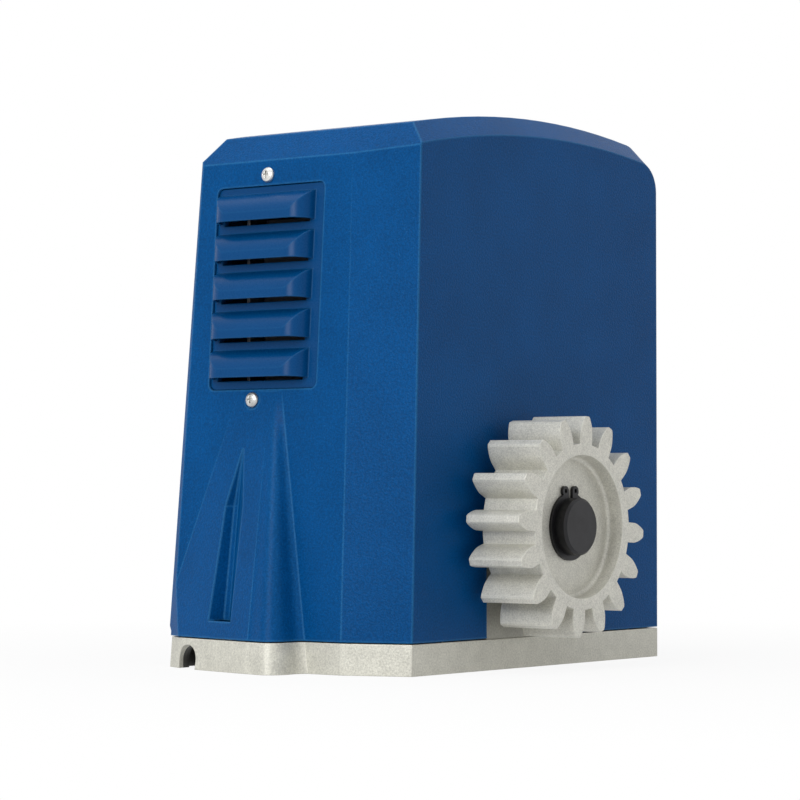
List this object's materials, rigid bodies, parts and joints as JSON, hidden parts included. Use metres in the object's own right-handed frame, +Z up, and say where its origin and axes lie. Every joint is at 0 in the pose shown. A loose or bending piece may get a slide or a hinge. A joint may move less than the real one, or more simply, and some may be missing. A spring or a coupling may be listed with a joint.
{
  "type": "sliding gate motor",
  "caption": "Rack-driving gate motor: toothed pinion on a worm gearbox and upright motor under a tall arched, louvred cover on a cast base plate.",
  "frame": {"origin": "midway between the four anchor slots, on the base's underside", "axes": "+Z up; X along the gate, the vent end at -X; -Y the gate side, where the pinion stands; +Y the user's side with the manual release"},
  "size_m": [0.2471, 0.1976, 0.275],
  "materials": {
    "cast_aluminium": "cast, shot-blasted, light speckle",
    "gearbox_casting": "cast, matt",
    "pinion_steel": "blasted, zinc-grey, satin",
    "black_steel": "black oxide, satin",
    "bright_steel": "ground, satin",
    "zinc_screws": "zinc plated, satin",
    "bronze": "machined, satin",
    "cover_blue": "moulded, fine textured",
    "vent_blue": "moulded, smooth satin",
    "black_rubber": "matt",
    "gasket_paper": "matt fibre",
    "motor_paint": "satin black",
    "lamination": "stacked sheet, matt",
    "copper": "enamelled wire and bars, gloss",
    "magnet": "ferrite, matt",
    "carbon": "carbon, matt",
    "sheet_metal": "galvanised sheet",
    "black_plastic": "moulded, satin",
    "white_plastic": "moulded, satin",
    "battery_grey": "moulded, matt",
    "lead_tabs": "tinned",
    "webbing": "woven strap",
    "board_green": "solder mask, satin",
    "relay_blue": "moulded, satin",
    "terminal_green": "moulded, satin",
    "black_aluminium": "anodised, matt"
  },
  "bodies": {
    "frame": {"base_plate": "cast_aluminium", "cable_grommet": "black_rubber", "gearbox_housing": "gearbox_casting", "gearbox_lid": "gearbox_casting", "gearbox_gasket": "gasket_paper", "gearbox_foot_screws": "zinc_screws", "gearbox_lid_screws": "zinc_screws", "oil_plug": "bronze", "output_oil_seal": "black_rubber", "output_bearing_outers": "bright_steel", "fork_guide_rod": "bright_steel", "rotor_bearing_outers": "bright_steel", "rotor_oil_seal": "black_rubber", "motor_flange": "gearbox_casting", "motor_yoke": "motor_paint", "motor_magnets": "magnet", "motor_top": "gearbox_casting", "brushes": "carbon", "brush_holders": "black_plastic", "motor_bolts": "zinc_screws", "encoder_sensor": "black_plastic", "bracket": "sheet_metal", "bracket_screws": "zinc_screws", "battery": "battery_grey", "battery_tabs": "lead_tabs", "battery_strap": "webbing", "circuit_board": "board_green", "board_standoffs": "white_plastic", "board_screws": "zinc_screws", "relays": "relay_blue", "capacitors": "black_plastic", "heat_sink": "black_aluminium", "processor": "black_plastic", "terminal_block": "terminal_green", "power_supply": "black_plastic"},
    "output": {"output_shaft": "black_steel", "pinion_key": "bright_steel", "clutch_keys": "bright_steel", "wheel_bush": "bronze", "wheel_spacer": "bright_steel", "worm_wheel": "bronze", "pinion": "pinion_steel", "pinion_circlip": "black_steel", "output_bearing_inners": "bright_steel"},
    "rotor": {"rotor_shaft": "bright_steel", "worm": "black_steel", "armature_core": "lamination", "armature_winding": "copper", "commutator": "copper", "rotor_bearing_inners": "bright_steel", "encoder_disc": "black_plastic"},
    "clutch": {"clutch_collar": "bright_steel"},
    "fork": {"shift_fork": "bronze"},
    "release": {"release_spindle": "bright_steel", "release_handle": "black_plastic"},
    "lock": {"lock_barrel": "zinc_screws"},
    "cover": {"cover": "cover_blue", "vent_panel": "vent_blue", "vent_screws": "zinc_screws"}
  },
  "joints": [
    {"name": "output_turn", "type": "hinge", "parent": "frame", "child": "output", "pos_m": [-0.012, -0.028, 0.07], "axis": [0, 1, 0], "continuous": true},
    {"name": "rotor_turn", "type": "hinge", "parent": "frame", "child": "rotor", "pos_m": [0.038, -0.028, 0.13], "axis": [0, 0, 1], "continuous": true},
    {"name": "clutch_slide", "type": "slide", "parent": "output", "child": "clutch", "axis": [0, 1, 0], "range_m": [0, 0.006]},
    {"name": "fork_slide", "type": "slide", "parent": "frame", "child": "fork", "axis": [0, 1, 0], "range_m": [0, 0.006]},
    {"name": "release_turn", "type": "hinge", "parent": "frame", "child": "release", "pos_m": [-0.012, 0.07, 0.037], "axis": [0, -1, 0], "range_deg": [0, 90]},
    {"name": "lock_turn", "type": "hinge", "parent": "release", "child": "lock", "pos_m": [-0.012, 0.08, 0.037], "axis": [0, -1, 0], "range_deg": [0, 90]},
    {"name": "cover_lift", "type": "slide", "parent": "frame", "child": "cover", "axis": [0, 0, 1], "range_m": [0, 0.28]}
  ],
  "couplings": [
    {"joint": "rotor_turn", "follows": "output_turn", "ratio": 30},
    {"joint": "clutch_slide", "follows": "release_turn", "m_per_rad": 0.0038197},
    {"joint": "fork_slide", "follows": "release_turn", "m_per_rad": 0.0038197}
  ]
}
